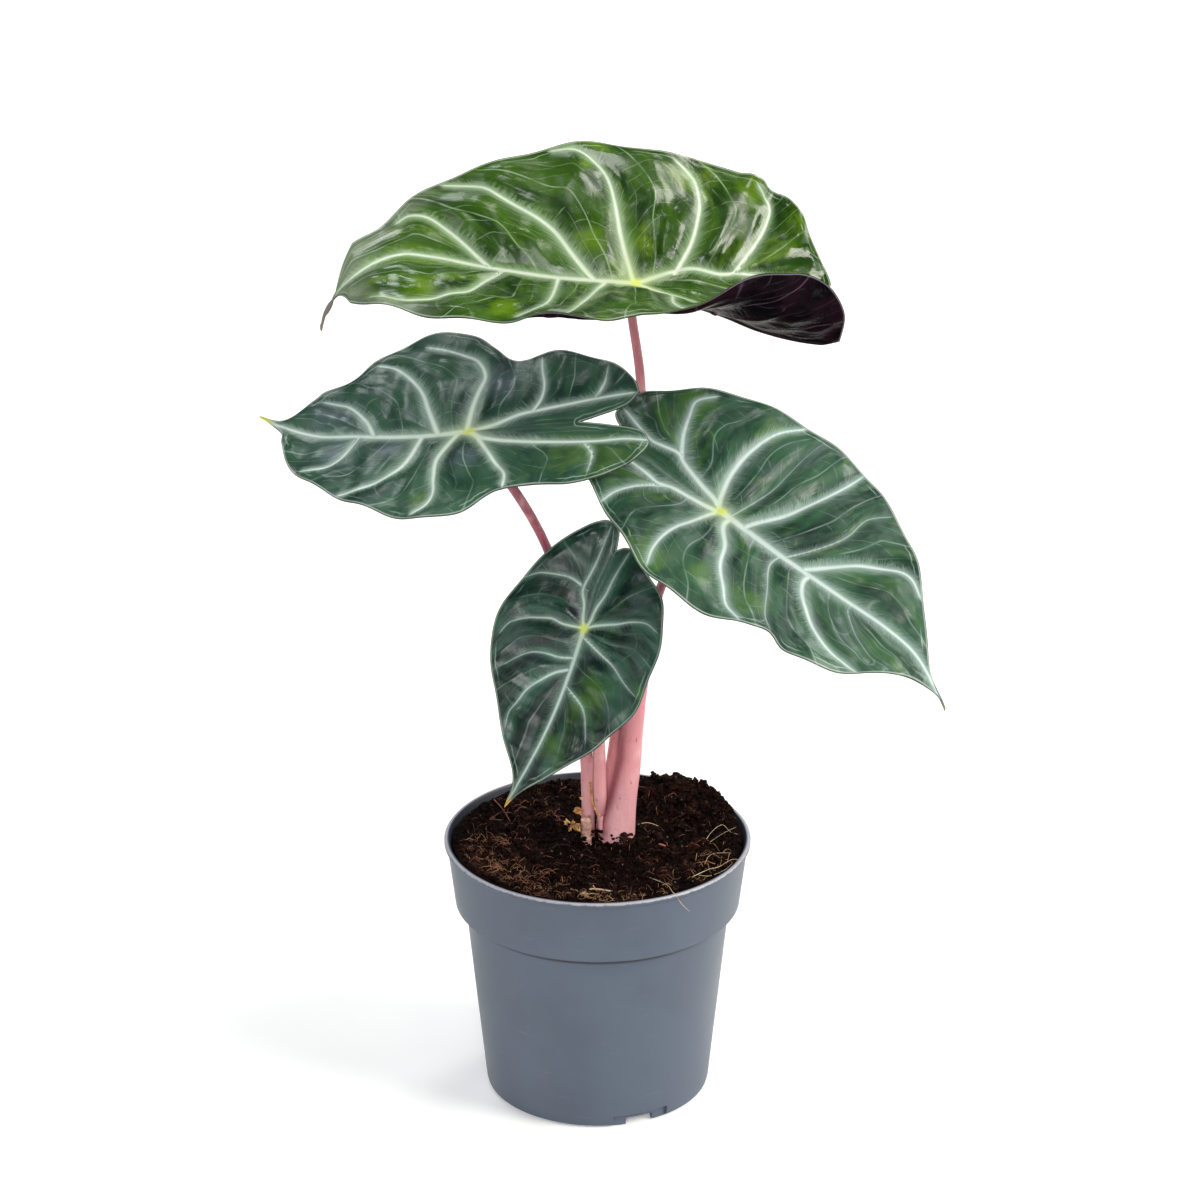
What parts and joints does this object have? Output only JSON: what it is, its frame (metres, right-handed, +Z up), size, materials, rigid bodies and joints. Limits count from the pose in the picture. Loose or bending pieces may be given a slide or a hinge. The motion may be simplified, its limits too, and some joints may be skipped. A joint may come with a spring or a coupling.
{
  "type": "potted alocasia",
  "caption": "Young pink-stemmed alocasia with broad wavy veined leaves, rooted in peaty soil in a small round plastic nursery pot.",
  "frame": {"origin": "centre of the pot's base, at the height of the surface that it stands on", "axes": "+Z up along the pot's axis, +X to the right and -Y towards the viewer in the pictured view"},
  "size_m": [0.2542, 0.1641, 0.376],
  "materials": {
    "pot_plastic": "blue-grey moulded plastic, satin, lightly scuffed",
    "peat": "moist dark peat with fibres and rootlets",
    "blade": "glossy thick leaf, green above with pale veins, dark maroon below",
    "petiole": "smooth fleshy stem, pink to dark rose"
  },
  "bodies": {
    "root": {"pot": "pot_plastic", "soil": "peat", "blade_top": "blade", "blade_left": "blade", "blade_right": "blade", "blade_front": "blade", "petiole_top": "petiole", "petiole_left": "petiole", "petiole_right": "petiole", "petiole_front": "petiole", "petiole_stub": "petiole"}
  },
  "joints": []
}
